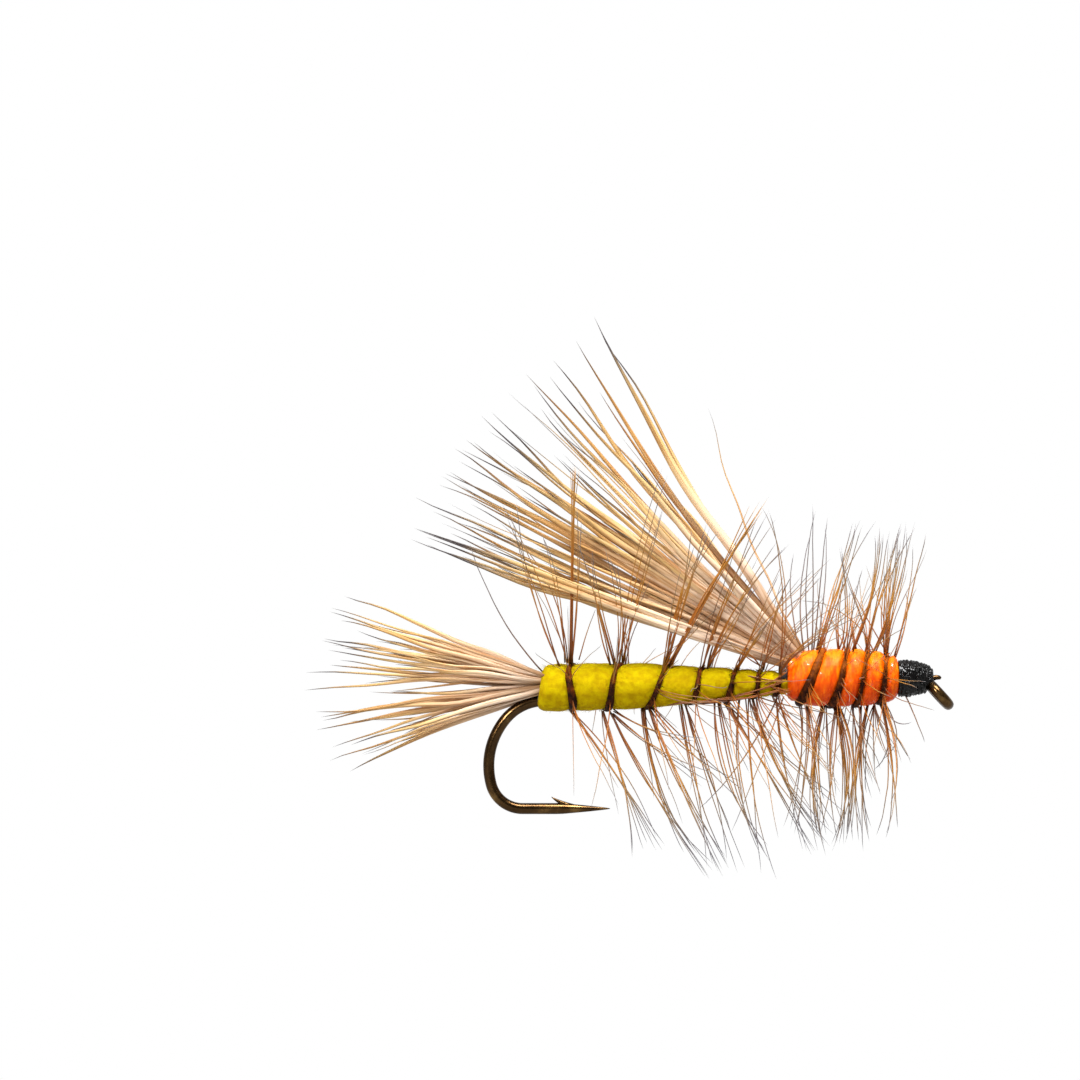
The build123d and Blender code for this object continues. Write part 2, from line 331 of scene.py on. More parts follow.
def fibre_sheaf(name, bones, thickness, profile, sides, rings, tints=None, wave=0.0, fade=1.0):
    """Many tapered fibres in one mesh. bones holds four curve points for each fibre, in mm.

    One straight fibre is extruded and copied, then every copy is bent along its own curve.
    Its UV map carries the share of the length in U, which fade can shorten, and the fibre's
    own tint in V, with a trace of which side of it is which.
    """
    bm = bmesh.new()
    bmesh.ops.create_circle(bm, cap_ends=True, segments=sides, radius=1.0)
    edges = list(bm.edges)
    for _ in range(rings):
        ring, edges = next_ring(bm, edges)
        bmesh.ops.translate(bm, verts=ring, vec=(0, 0, 1))
    bmesh.ops.pointmerge(bm, verts=ring, merge_co=(0, 0, rings))
    bmesh.ops.recalc_face_normals(bm, faces=bm.faces[:])
    single = bpy.data.meshes.new(name)
    bm.to_mesh(single)
    bm.free()
    local = np.array([v.co for v in single.vertices], float)

    bones = np.asarray(bones, float)
    count = len(bones)
    sheaf = bmesh.new()
    for _ in range(count):
        sheaf.from_mesh(single)
    bpy.data.meshes.remove(single)
    mesh = bpy.data.meshes.new(name)
    sheaf.to_mesh(mesh)
    sheaf.free()

    share = (local[:, 2] / rings)[None, :, None]
    a, b, c, d = (bones[:, None, k, :] for k in range(4))
    spot = (
        a * (1 - share) ** 3
        + 3 * b * share * (1 - share) ** 2
        + 3 * c * share**2 * (1 - share)
        + d * share**3
    )
    ahead = (
        3 * (b - a) * (1 - share) ** 2
        + 6 * (c - b) * share * (1 - share)
        + 3 * (d - c) * share**2
    )
    ahead /= np.linalg.norm(ahead, axis=2, keepdims=True) + 1e-12
    side = np.cross(ahead, np.array([0.31, 0.87, 0.38]))
    side /= np.linalg.norm(side, axis=2, keepdims=True) + 1e-12
    other = np.cross(ahead, side)
    girth = np.interp(share[0, :, 0], [p for p, _ in profile], [r for _, r in profile])
    girth = girth[None, :, None] * np.asarray(thickness, float)[:, None, None]
    sway = np.zeros_like(spot)
    for pace, part in ((1.0, 0.6), (2.3, 0.3), (4.1, 0.12)):
        for way in (side, other):
            start = hair_rng.random((count, 1, 1)) * 2 * math.pi
            size = hair_rng.normal(0, part, (count, 1, 1)) * wave
            sway += way * size * np.sin(start + 2 * math.pi * pace * share) * share**0.7
    spot = spot + sway
    places = spot + girth * (side * local[None, :, 0:1] + other * local[None, :, 1:2])
    mesh.vertices.foreach_set("co", (places * MM).astype(np.float32).ravel())

    corner = np.zeros(len(mesh.loops), np.int32)
    mesh.loops.foreach_get("vertex_index", corner)
    if tints is None:
        tints = hair_rng.random(count)
    reach = np.tile(local[:, 2] / rings, count) * np.repeat(fade * np.ones(count), len(local))
    tone = np.repeat(np.asarray(tints, float), len(local)) + 0.012 * np.tile(local[:, 0], count)
    uv = np.stack([reach[corner], tone[corner]], axis=1)
    layer = mesh.uv_layers.new(name="strand")
    layer.data.foreach_set("uv", uv.astype(np.float32).ravel())
    mesh.polygons.foreach_set("use_smooth", [True] * len(mesh.polygons))
    mesh.update()
    piece = bpy.data.objects.new(name, mesh)
    bpy.context.scene.collection.objects.link(piece)
    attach(piece, "root")
    return piece


def bent(root, neck, tip, bow):
    """Curve points of one fibre: it leaves the root towards neck, bows, and ends at tip."""
    root, neck, tip = np.array(root), np.array(neck), np.array(tip)
    run = np.linalg.norm(tip - root)
    first = neck + (neck - root) * 0.2
    return [root, first, tip * 0.62 + neck * 0.38 + np.array(bow) * run, tip]


def hair_material(name, pale, gold, dark):
    """Deer hair: brown root, partly its own colour and partly painted shade where the hairs crowd, pale
    shaft, golden then dark tip; each hair a little different, with streaks of painted shadow along it.
    """
    material, nodes, links, shader = new_material(name, pale, 0.42)
    strand = nodes.new("ShaderNodeUVMap")
    strand.uv_map = "strand"
    split = nodes.new("ShaderNodeSeparateXYZ")
    links.new(strand.outputs["UV"], split.inputs[0])
    shift = nodes.new("ShaderNodeMath")
    shift.operation = "MULTIPLY_ADD"
    shift.inputs[1].default_value = 0.08
    links.new(split.outputs["Y"], shift.inputs[0])
    reach = nodes.new("ShaderNodeMath")
    reach.operation = "MULTIPLY"
    reach.inputs[1].default_value = 0.90
    links.new(split.outputs["X"], reach.inputs[0])
    links.new(reach.outputs[0], shift.inputs[2])
    along = ramped(
        nodes,
        links,
        shift.outputs[0],
        [
            # the root's brown: partly the hair's own colour, partly painted shade where the hairs crowd
            # together
            (0.00, (0.19, 0.100, 0.045)),
            (0.14, (0.36, 0.215, 0.115)),
            (0.38, pale),
            (0.56, tuple(0.50 * p + 0.50 * g for p, g in zip(pale, gold))),
            (0.70, gold),
            (0.79, tuple(0.75 * v for v in gold)),
            (0.84, tuple(0.40 * g + 0.60 * d for g, d in zip(gold, dark))),
            (0.89, dark),
        ],
    )
    # painted shadow: dark brown streaks along the hairs stand in for the shade between neighbouring
    # hairs
    weave = nodes.new("ShaderNodeVectorMath")
    weave.operation = "MULTIPLY"
    weave.inputs[1].default_value = (3.0, 97.0, 1.0)
    links.new(strand.outputs["UV"], weave.inputs[0])
    streak = toned(nodes, links, 1.0, 2.0, 1.0, weave.outputs[0])
    shade = ramped(nodes, links, streak, [(0.36, (0.52, 0.31, 0.14)), (0.50, (1.0, 1.0, 1.0))])
    painted_shadow_streaked = multiplied(nodes, links, along, shade, 0.85)
    own = ramped(
        nodes,
        links,
        split.outputs["Y"],
        [(0.0, (0.64, 0.46, 0.28)), (0.30, (0.95, 0.86, 0.74)), (0.6, (1.0, 1.0, 1.0))],
    )
    links.new(multiplied(nodes, links, painted_shadow_streaked, own, 1.0), shader.inputs["Base Color"])
    shader.inputs["Specular IOR Level"].default_value = 0.35
    return material


deer_hair = hair_material(
    "deer_hair", (0.78, 0.60, 0.45), (0.64, 0.42, 0.170), (0.050, 0.040, 0.042)
)
HAIR_TAPER = [(0, 0.62), (0.12, 0.95), (0.40, 1.0), (0.65, 0.80), (0.84, 0.42), (1.0, 0.04)]

# the longest hairs of the fan are placed one by one: height and reach of each tip
tail_tips = [
    (-11.0, 12.0), (-11.9, 11.0), (-11.3, 10.5), (-12.3, 9.7), (-12.5, 9.3), (-12.1, 8.7),
    (-12.0, 7.9), (-13.4, 7.6), (-13.4, 6.8), (-12.7, 5.4), (-12.5, 5.1), (-12.3, 4.9),
    (-12.8, 4.5), (-11.9, 3.75), (-10.7, 3.6), (-12.0, 2.6), (-10.9, 2.0), (-10.2, 9.0),
]
tail_bones, tail_girth = [], []
for reach, height in tail_tips:
    lift = (height - 6.9) / 6.0
    y = hair_rng.normal(0, 1.3)
    root = (0.7, y * 0.10, 6.95 + lift * 0.30)
    neck = (-0.6, y * 0.22, 6.95 + lift * 0.62)
    bow = (0, hair_rng.normal(0, 0.02), hair_rng.normal(0.0, 0.018))
    tail_bones.append(bent(root, neck, (reach, y, height), bow))
    tail_girth.append(hair_rng.uniform(0.115, 0.165))
for _ in range(36):
    lift = hair_rng.uniform(-0.85, 0.80)
    reach = -hair_rng.uniform(7.0, 12.0)
    y = hair_rng.normal(0, 1.7)
    height = 6.9 + lift * 6.0 * (-reach / 12.5)
    root = (0.7, y * 0.14, 6.95 + lift * 0.36)
    neck = (-0.6, y * 0.28, 6.95 + lift * 0.70)
    bow = (0, hair_rng.normal(0, 0.025), hair_rng.normal(0, 0.02))
    tail_bones.append(bent(root, neck, (reach, y, height), bow))
    tail_girth.append(hair_rng.uniform(0.07, 0.14))
tail = fibre_sheaf("tail_hairs", tail_bones, tail_girth, HAIR_TAPER, 8, 18, wave=0.20)
tail.data.materials.append(deer_hair)
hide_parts("tail_hair")


def butt_ends(name, stand_in, count, start, finish, spread, girth):
    """The cut ends of a bunch, laid along the shank and bound down."""
    bones = []
    for _ in range(count):
        y, z = hair_rng.normal(0, spread, 2)
        a, b = hair_rng.uniform(0, 0.3), hair_rng.uniform(0, 0.9)
        head = np.array([start[0] + a, y, start[1] + z])
        foot = np.array([finish[0] - b, y * 0.7, finish[1] + z * 0.7])
        bones.append([head, head * 0.67 + foot * 0.33, head * 0.33 + foot * 0.67, foot])
    piece = fibre_sheaf(name, bones, [girth] * count, [(0, 1), (1, 0.9)], 6, 5, fade=0.1)
    piece.data.materials.append(deer_hair)
    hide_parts(stand_in)


butt_ends("tail_butt_hairs", "tail_butts", 34, (0.5, 6.85), (8.6, 6.85), 0.24, 0.10)

# ------------------------------------------------------------------ abdomen
# Soft yellow wool yarn wound to a fat cigar, thick at the tail and fine at the wing. It is felted
# and matt, pulled in where the feather stem crosses it, with short loose fuzz all over.
ABDOMEN_ENDS = ((-0.30, 6.70), (12.95, 6.97))
ABDOMEN = [(0, 0.85), (0.10, 1.10), (0.35, 1.24), (1.2, 1.30), (5.9, 1.22), (8.2, 1.03)]
ABDOMEN += [(10.6, 0.86), (12.2, 0.73), (13.0, 0.68), (13.6, 0.62), (13.9, 0.50)]


def abdomen_girth(x):
    return float(np.interp(x - ABDOMEN_ENDS[0][0], [p for p, _ in ABDOMEN], [r for _, r in ABDOMEN]))


def abdomen_height(x):
    (x0, z0), (x1, z1) = ABDOMEN_ENDS
    return z0 + (z1 - z0) * (x - x0) / (x1 - x0)


def abdomen_wrap(turns):
    """Where along the body the stem is, after so many turns; the turns lean unevenly."""
    whole = (-1, 0, 1, 2, 3, 4, 5, 6, 7)
    even = np.interp(turns, whole, (-0.9, 1.40, 3.70, 6.27, 8.45, 10.35, 11.8, 12.95, 13.9))
    lean = np.interp(turns, whole, (-0.7, -0.6, -0.22, 0.05, -0.2, -0.1, -0.15, -0.1, -0.1))
    return float(even + lean * math.sin(2 * math.pi * turns))


def from_wrap(x, phase, wrap, last):
    """Distance along the body to the nearest crossing of the stem, at this angle round it."""
    spots = [wrap(phase + k) for k in range(-1, last + 1)]
    return min(abs(x - s) for s in spots)


def wound_body(name, stations, girth, height, wrap, last, pinch, width, swell, seed, slant=0.0):
    """A turned body pulled in along the wound stem, with a slightly uneven surface; its rear
    face can be slanted back towards the underside.
    """
    face = 1.3  # the radius of the rear face, and how far in its slant reaches
    spine = [(x, 0, height(x)) for x in stations]
    shape = drawn_tube(spine, [girth(x) for x in stations], 88)
    for v in shape.verts:
        x = v.co.x / MM
        z = v.co.z / MM - height(x)
        y = v.co.y / MM
        r = math.hypot(y, z)
        if r < 0.05:
            continue
        phase = (math.atan2(z, -y) / (2 * math.pi)) % 1.0
        d = from_wrap(x, phase, wrap, last)
        drop = -pinch * math.exp(-((d / width) ** 2)) + swell * (1 - math.exp(-((d / 0.7) ** 2)))
        drop += 0.020 * noise.noise(Vector((x * 2.2, y * 2.2 + seed, z * 2.2)))
        drop += 0.008 * noise.noise(Vector((x * 9, y * 9, z * 9 + seed)))
        k = (r + drop) / r
        v.co.y = y * k * MM
        v.co.z = (height(x) + z * k) * MM
        v.co.x += slant * z / face * max(0.0, 1 - (x - stations[0]) / face) * MM
    bmesh.ops.recalc_face_normals(shape, faces=shape.faces[:])
    return finished(name, [shape])


stations = [-0.30, -0.295, -0.27, -0.22] + [-0.15 + 0.09 * i for i in range(153)]
abdomen = wound_body(
    "abdomen_wool", stations, abdomen_girth, abdomen_height, abdomen_wrap, 7, 0.13, 0.24, 0.05, 3, 0.22
)
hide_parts("abdomen_yarn")


# heights, in metres, between which a body's colour is painted from shade low down to light on its upper
# side
PAINTED_SHADE_LOW = 0.0060
PAINTED_LIGHT_HIGH = 0.0088


def wool_material(name, deep, main, light, scale, stretch, relief, rise):
    """Dyed wool: blotchy depth of colour and a fine matted relief. The upper side is painted lighter
    and the underside darker, a painted light and shade from above, by the share of the colour range in
    rise.
    """
    material, nodes, links, shader = new_material(name, main, 0.85)
    cloud = toned(nodes, links, scale, 5.0, stretch)
    place = nodes.new("ShaderNodeSeparateXYZ")
    links.new(nodes.new("ShaderNodeTexCoord").outputs["Object"], place.inputs[0])
    # painted light and shade: the colour goes from deep low on the body to pale on top
    painted_top_light = ranged(nodes, links, place.outputs["Z"], PAINTED_SHADE_LOW, PAINTED_LIGHT_HIGH, -rise, rise)
    both = nodes.new("ShaderNodeMath")
    links.new(cloud, both.inputs[0])
    links.new(painted_top_light, both.inputs[1])
    links.new(
        ramped(nodes, links, both.outputs[0], [(0.28, deep), (0.50, main), (0.74, light)]),
        shader.inputs["Base Color"],
    )
    mat = toned(nodes, links, scale * 3.2, 4.0, stretch)
    bumped(nodes, links, shader, mat, 0.7, relief)
    shader.inputs["Specular IOR Level"].default_value = 0.05
    shader.inputs["Subsurface Weight"].default_value = 0.15
    shader.inputs["Subsurface Radius"].default_value = (0.6, 0.35, 0.05)
    shader.inputs["Subsurface Scale"].default_value = 0.0006
    return material


# the last value is the share of painted top light and underside shade
yellow_wool = wool_material(
    "yellow_wool", (0.36, 0.22, 0.0), (0.465, 0.33, 0.0), (0.58, 0.455, 0.001), 2600, 1.0, 0.04, 0.10
)
abdomen.data.materials.append(yellow_wool)


def fuzz(name, count, girth, height, x_low, x_high, reach, seed):
    """Short loose fibres standing and lying all over a yarn body."""
    rng = np.random.default_rng(seed)
    bones = []
    for _ in range(count):
        x = rng.uniform(x_low, x_high)
        a = rng.uniform(0, 2 * math.pi)
        out = np.array([0, -math.cos(a), math.sin(a)])
        round_way = np.array([0, math.sin(a), math.cos(a)])
        root = np.array([x, 0, height(x)]) + out * (girth(x) - 0.04)
        lean = round_way * rng.normal(0, 0.8) + np.array([rng.normal(0, 0.8), 0, 0])
        run = rng.uniform(*reach)
        tip = root + (out * rng.uniform(0.25, 1.0) + lean) * run
        mid = root + out * run * 0.6 + lean * run * 0.2
        bones.append([root, root + out * run * 0.3, mid, tip])
    return fibre_sheaf(name, bones, [0.009] * count, [(0, 1), (0.6, 0.8), (1, 0.2)], 3, 3)


abdomen_fuzz = fuzz(
    "abdomen_fuzz", 2600, abdomen_girth, abdomen_height, -0.25, 12.8, (0.10, 0.24), 12
)
abdomen_fuzz.data.materials.append(yellow_wool)

# ------------------------------------------------------------------ abdomen hackle
# A brown cock feather wound forward in seven open turns. The flat glossy stem bites into the
# wool, and its barbs stand out all round: dark at the stem, ginger along, fine and grey at the tip.
STEM = 0.19


def stem_spot(turns, wrap, girth, height, stand):
    """A point of the wound stem, standing off the body, and the way out from it."""
    x = wrap(turns)
    a = 2 * math.pi * turns
    out = np.array([0, -math.cos(a), math.sin(a)])
    return np.array([x, 0, height(x)]) + out * (girth(x) + stand), out


def wound_stem(name, first, last, wrap, girth, height, broad, slim):
    """The stem, wound on: it tapers from its broad end to its slim one, in parts of STEM."""
    count = int((last - first) * 34)
    turns = [first + (last - first) * i / count for i in range(count + 1)]
    spine = [stem_spot(t, wrap, girth, height, -0.05)[0] for t in turns]
    thick = []
    for t in turns:
        taper = broad + (slim - broad) * min(1.0, (t - first) / 2.2)
        uneven = 0.9 - 0.20 * math.sin(2 * math.pi * t) + 0.16 * math.sin(9.1 * t) * math.sin(23.7 * t)
        thick.append(STEM * taper * uneven)
    thick[0] = thick[-1] = 0.05
    return finished(name, [drawn_tube(spine, thick, 12)])


# heights, in metres, over which the stem is painted from dark shade below to lit ginger above
STEM_PAINTED_SHADE_LOW = 0.0068
STEM_PAINTED_LIGHT_HIGH = 0.0096
stem_finish, nodes, links, shader = new_material("feather_stem", (0.055, 0.022, 0.010), 0.55)
place = nodes.new("ShaderNodeSeparateXYZ")
links.new(nodes.new("ShaderNodeTexCoord").outputs["Object"], place.inputs[0])
# painted light and shade: the stem is darker low on the body and ginger on top; a random tone adds to
# it
height = ranged(nodes, links, place.outputs["Z"], STEM_PAINTED_SHADE_LOW, STEM_PAINTED_LIGHT_HIGH)
blend = nodes.new("ShaderNodeMath")
blend.operation = "MULTIPLY_ADD"
blend.inputs[1].default_value = 0.55
links.new(height, blend.inputs[0])
links.new(toned(nodes, links, 2500, 4.0), blend.inputs[2])
links.new(
    ramped(
        nodes,
        links,
        blend.outputs[0],
        [(0.40, (0.009, 0.002, 0.001)), (0.60, (0.062, 0.013, 0.001)), (0.86, (0.28, 0.065, 0.003))],
    ),
    shader.inputs["Base Color"],
)
bumped(nodes, links, shader, toned(nodes, links, 9000, 3.0), 0.5, 0.03)
shader.inputs["Specular IOR Level"].default_value = 0.08
abdomen_stem = wound_stem(
    "abdomen_stem", -0.22, 6.10, abdomen_wrap, abdomen_girth, abdomen_height, 1.20, 0.85
)
abdomen_stem.data.materials.append(stem_finish)
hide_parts("abdomen_quill")

barb_finish, nodes, links, shader = new_material("feather_barb", (0.30, 0.13, 0.04), 0.38)
strand = nodes.new("ShaderNodeUVMap")
strand.uv_map = "strand"
split = nodes.new("ShaderNodeSeparateXYZ")
links.new(strand.outputs["UV"], split.inputs[0])
brown = ramped(
    nodes,
    links,
    split.outputs["X"],
    [
        (0.00, (0.045, 0.014, 0.004)),
        (0.05, (0.170, 0.042, 0.004)),
        (0.20, (0.340, 0.095, 0.004)),
        (0.50, (0.410, 0.175, 0.018)),
        (0.72, (0.250, 0.155, 0.075)),
        (0.88, (0.150, 0.128, 0.130)),
        (1.00, (0.160, 0.150, 0.165)),
    ],
)
grey = ramped(
    nodes,
    links,
    split.outputs["X"],
    [
        (0.00, (0.060, 0.028, 0.018)),
        (0.15, (0.170, 0.080, 0.045)),
        (0.50, (0.150, 0.108, 0.095)),
        (1.00, (0.150, 0.140, 0.155)),
    ],
)
pick = ramped(nodes, links, split.outputs["Y"], [(0.45, (0, 0, 0)), (0.90, (1, 1, 1))])
mix = nodes.new("ShaderNodeMix")
mix.data_type = "RGBA"
links.new(pick, mix.inputs["Factor"])
links.new(brown, mix.inputs[6])
links.new(grey, mix.inputs[7])
links.new(mix.outputs[2], shader.inputs["Base Color"])
shader.inputs["Specular IOR Level"].default_value = 0.5
BARB_TAPER = [(0, 1.0), (0.15, 0.90), (0.60, 0.66), (0.94, 0.44), (1.0, 0.15)]


class Hackle:
    """Gathers the barbs of one feather: curve points, thickness and tint of each."""

    def __init__(self, seed):
        self.rng = np.random.default_rng(seed)
        self.bones, self.girths, self.tints, self.fades = [], [], [], []

    def tuft(
        self, root, middle, tip, count, grey=0.0, width=0.046, depth=2.0, near=0.0, part=0.34, fade=1.0
    ):
        """Barbs that leave the stem stuck together, pass near middle, and part at their tips."""
        for _ in range(count):
            y = self.rng.normal(-near, depth)
            start = np.array([root[0], 0.10 * y, root[1]]) + self.rng.normal(0, 0.05, 3)
            halfway = np.array([middle[0], 0.60 * y, middle[1]]) + self.rng.normal(0, 0.3 * part, 3)
            end = np.array([tip[0], y, tip[1]]) + self.rng.normal(0, part, 3)
            pull = 2 * halfway - (start + end) / 2
            self.bones.append([start, start + (pull - start) * 2 / 3, end + (pull - end) * 2 / 3, end])
            self.girths.append(width * self.rng.uniform(0.8, 1.15))
            self.tints.append(min(1.0, max(0.0, grey + self.rng.uniform(-0.1, 0.3))))
            self.fades.append(fade * self.rng.uniform(0.9, 1.0))

    def around(self, count, first, last, wrap, girth, height, lean, reach, opening):
        """Barbs that stand out to both sides of the fly, all along the wound stem."""
        for k in range(count):
            turns = first + (last - first) * (k + self.rng.uniform(0, 1)) / count
            side = 0.0 if self.rng.random() < 0.4 else 0.5
            turns = round(turns) + side + self.rng.uniform(-1, 1) * opening
            turns = min(last, max(first, turns))
            spot, out = stem_spot(turns, wrap, girth, height, 0.03)
            share = (turns - first) / (last - first)
            tilt = np.interp(share, (0, 1), lean) + self.rng.normal(0, 0.16)
            aim = out + np.array([tilt, 0, 0]) + self.rng.normal(0, 0.08, 3)
            aim *= reach * self.rng.uniform(0.70, 1.0) / np.linalg.norm(aim)
            bow = self.rng.normal(0, 0.12, 3)
            self.bones.append([spot, spot + out * 2.0 + aim * 0.1, spot + aim * 0.66 + bow, spot + aim])
            self.girths.append(self.rng.uniform(0.026, 0.040))
            self.tints.append(self.rng.uniform(0.0, 0.8))
            self.fades.append(self.rng.uniform(0.8, 1.0))

    def made(self, name, stand_in):
        piece = fibre_sheaf(
            name, self.bones, self.girths, BARB_TAPER, 5, 12, self.tints, 0.05, np.array(self.fades)
        )
        piece.data.materials.append(barb_finish)
        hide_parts(stand_in)


hackle = Hackle(8)
# upper side, from the tail forward: root, middle and tip of each tuft, and how many barbs
for root, middle, tip, count in (
    ((1.30, 8.1), (0.00, 12.6), (-2.7, 16.5), 2),
    ((0.85, 7.8), (-0.6, 12.0), (-2.1, 16.6), 3), ((1.20, 8.1), (0.60, 12.0), (-0.3, 15.5), 2),
    ((1.50, 8.1), (1.80, 12.5), (1.95, 16.5), 2), ((1.80, 8.3), (2.20, 9.8), (2.7, 11.1), 1),
    ((3.90, 8.0), (2.90, 11.4), (1.70, 14.4), 3), ((3.60, 8.0), (3.00, 10.4), (2.2, 13.4), 2),
    ((4.00, 8.1), (4.10, 11.0), (3.60, 14.0), 3), ((4.20, 8.1), (5.00, 13.0), (6.2, 18.8), 2),
    ((4.30, 8.1), (5.30, 12.3), (6.60, 17.2), 2),
    ((6.75, 8.0), (7.90, 12.1), (9.40, 15.8), 3), ((6.70, 8.0), (7.50, 11.8), (8.6, 15.0), 3),
    ((8.75, 7.8), (10.0, 11.5), (11.9, 16.2), 3), ((9.00, 7.8), (10.6, 11.3), (12.9, 14.6), 3),
    ((9.00, 7.8), (10.2, 10.0), (11.8, 12.4), 2), ((10.6, 7.7), (11.4, 9.1), (12.3, 10.4), 4),
    ((10.7, 7.7), (11.8, 10.5), (13.2, 13.0), 2), ((11.9, 7.9), (10.9, 8.8), (9.6, 9.9), 2),
    ((12.1, 7.8), (12.6, 10.5), (13.4, 12.8), 2), ((13.0, 7.6), (13.1, 12.4), (12.6, 16.7), 2),
):
    hackle.tuft(root, middle, tip, count, near=3.6, depth=0.6)
for root, middle, tip, count, part in (
    ((1.44, 8.0), (1.50, 13.7), (1.75, 19.0), 7, 0.14),
    ((6.90, 7.8), (8.90, 11.8), (11.9, 16.8), 9, 0.24),
):
    hackle.tuft(root, middle, tip, count, near=3.6, depth=0.25, part=part, fade=0.66, width=0.050)
# one long fine barb strays back over the tail
hackle.tuft((-0.1, 7.5), (-2.5, 10.9), (-4.7, 15.1), 1, grey=0.9, depth=0.3)
# a few lie forward along the wool
for root, middle, tip in (
    ((5.6, 5.85), (7.6, 5.90), (9.7, 6.15)), ((7.4, 5.85), (9.6, 6.05), (11.7, 6.40)),
    ((8.2, 5.95), (10.6, 6.10), (13.3, 6.65)), ((9.6, 6.05), (11.4, 6.45), (13.5, 7.30)),
    ((10.9, 6.3), (12.2, 6.90), (13.4, 7.60)), ((11.0, 7.6), (12.3, 6.90), (13.5, 6.40)),
    ((11.9, 6.4), (12.7, 6.50), (13.6, 6.60)), ((9.4, 7.7), (11.6, 7.30), (13.3, 7.00)),
):
    hackle.tuft(root, middle, tip, 3, near=1.05, depth=0.08, part=0.13, fade=0.22, width=0.056)
# lower side, leaning towards the head
for root, middle, tip, count in (
    ((1.30, 5.6), (4.00, 2.0), (6.50, -2.0), 5), ((3.20, 5.4), (4.30, 1.6), (5.40, -2.0), 4),
    ((3.60, 5.4), (6.20, 0.7), (9.10, -3.7), 5), ((3.80, 5.3), (6.20, 3.4), (8.90, 1.6), 3),
    ((5.50, 5.6), (6.30, 1.2), (8.00, -2.6), 4), ((5.80, 5.6), (7.60, 1.4), (9.70, -3.4), 5),
    ((5.90, 5.6), (8.20, 3.1), (10.8, 1.2), 3), ((7.50, 5.8), (8.20, 1.3), (9.60, -3.2), 3),
    ((7.80, 5.8), (9.20, 1.4), (10.7, -3.3), 3), ((9.40, 6.0), (10.1, 1.6), (12.5, -2.5), 2),
    ((9.60, 6.0), (10.8, 1.1), (12.1, -2.6), 2), ((10.0, 6.0), (12.2, 2.1), (15.1, -2.3), 4),
    ((10.1, 6.0), (13.0, 3.0), (16.1, 0.4), 2), ((10.9, 6.3), (11.0, 1.4), (12.0, -3.0), 2),
    ((11.2, 6.3), (11.6, 1.0), (12.1, -3.5), 2), ((11.5, 6.2), (13.0, 2.2), (15.5, -1.4), 5),
    ((12.8, 6.5), (13.3, 2.0), (14.1, -2.2), 2), ((12.9, 6.4), (14.2, 2.8), (16.0, -1.3), 2),
    ((13.2, 6.2), (12.1, 2.6), (10.4, -0.6), 1), ((12.9, 6.1), (10.8, 2.6), (8.7, 0.7), 1),
    ((11.4, 6.4), (13.7, 5.7), (16.1, 5.0), 1), ((3.80, 5.5), (6.00, 4.5), (8.20, 3.7), 2),
):
    hackle.tuft(root, middle, tip, count, fade=1.15)
hackle.around(
    112, -0.1, 6.1, abdomen_wrap, abdomen_girth, abdomen_height, (0.05, 0.45), 9.4, 0.17
)
hackle.made("abdomen_barb_fibres", "abdomen_barbs")


def stem_down(name, first, last, wrap, girth, height, seed):
    """The short dark stubs and webby down that cling along both edges of the stem."""
    rng = np.random.default_rng(seed)
    bones = []
    for _ in range(int((last - first) * 64)):
        spot, out = stem_spot(rng.uniform(first, last), wrap, girth, height, -0.02)
        side = rng.choice((-1, 1)) * rng.uniform(0.10, 0.24)
        tip = spot + out * rng.uniform(0.0, 0.16) + np.array([side, 0, 0]) + rng.normal(0, 0.08, 3)
        mid = (spot + tip) / 2 + out * 0.08
        bones.append([spot, (spot + mid) / 2, mid, tip])
    piece = fibre_sheaf(name, bones, [0.028] * len(bones), [(0, 1), (0.5, 0.7), (1, 0.2)], 4, 3)
    piece.data.materials.append(stem_finish)


stem_down("abdomen_stem_down", 0.0, 6.0, abdomen_wrap, abdomen_girth, abdomen_height, 31)

# ------------------------------------------------------------------ wing
# A thick bunch of deer body hair, tied down in front of the abdomen so that it flares up and back
# over the fly. A collar of black thread holds it, and its clipped ends run on under the thorax.
wing_tips = [
    (1.6, 25.9), (0.4, 24.9), (-1.2, 24.1), (-0.7, 23.5), (-3.5, 21.9),
    (-4.05, 20.25), (-4.5, 20.1), (-5.1, 19.9), (-5.5, 18.8), (-5.8, 18.5), (-5.05, 18.0),
    (-7.3, 17.4), (-7.2, 15.5), (-7.4, 15.0), (-6.6, 14.6), (-4.8, 19.3), (-6.0, 17.9),
    (-3.0, 22.0), (-6.3, 16.4), (-5.2, 18.9), (-4.3, 20.6), (3.3, 26.2),
]
wing_wisps = [(-2.0, 23.25), (-1.4, 22.3), (-2.5, 21.75), (-0.05, 21.9)]
wing_wisps += [(-2.8, 20.1), (-5.3, 17.1), (4.2, 20.75), (9.05, 22.3)]
wing_rng = np.random.default_rng(23)
wing_bones, wing_girth = [], []


def lay_wing_hair(x, z, y, thick):
    """One wing hair from under the thorax, over the collar, and up to its tip."""
    rise = math.atan2(z - 8.0, 13.8 - x)
    fan = (rise - math.radians(34)) / math.radians(20)
    root = (14.9, y * 0.05, 7.75 + 0.10 * fan)
    neck = (13.55 + 0.28 * max(fan, 0), y * 0.12, 8.25 + 0.38 * fan)
    bow = np.array([0.25, 0, 0.9]) * wing_rng.normal(0.0, 0.014)
    bow += np.array([-0.02 * max(fan, 0), wing_rng.normal(0, 0.02), -0.02 * max(fan, 0)])
    wing_bones.append(bent(root, neck, (x, y, z), bow))
    wing_girth.append(thick)


for x, z in wing_tips:
    lay_wing_hair(x, z, wing_rng.normal(0, 1.3), wing_rng.uniform(0.15, 0.23))
